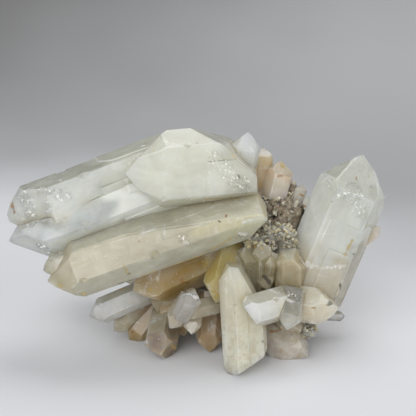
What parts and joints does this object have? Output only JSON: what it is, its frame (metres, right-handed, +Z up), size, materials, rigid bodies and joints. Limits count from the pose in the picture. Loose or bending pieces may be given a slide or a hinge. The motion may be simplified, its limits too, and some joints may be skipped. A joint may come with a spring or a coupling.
{
  "type": "quartz crystal cluster",
  "caption": "Free-standing quartz cluster: long milky-clear points fanning out from a root of small crystals and brown host rock, resting on worn tips.",
  "frame": {"origin": "middle of the cluster seen from above, on the plane it rests on", "axes": "+Z up, +X towards the single large point on the right of the picture, -Y towards the picture's viewer"},
  "size_m": [0.1512, 0.0934, 0.0907],
  "materials": {
    "quartz": "milky to clear, glossy faces with growth lines, yellow-brown staining along the edges",
    "host_rock": "rough, grey-brown, matt, with dark hollows"
  },
  "bodies": {
    "root": {"quartz_crystals": "quartz", "matrix_rock": "host_rock"}
  },
  "joints": []
}
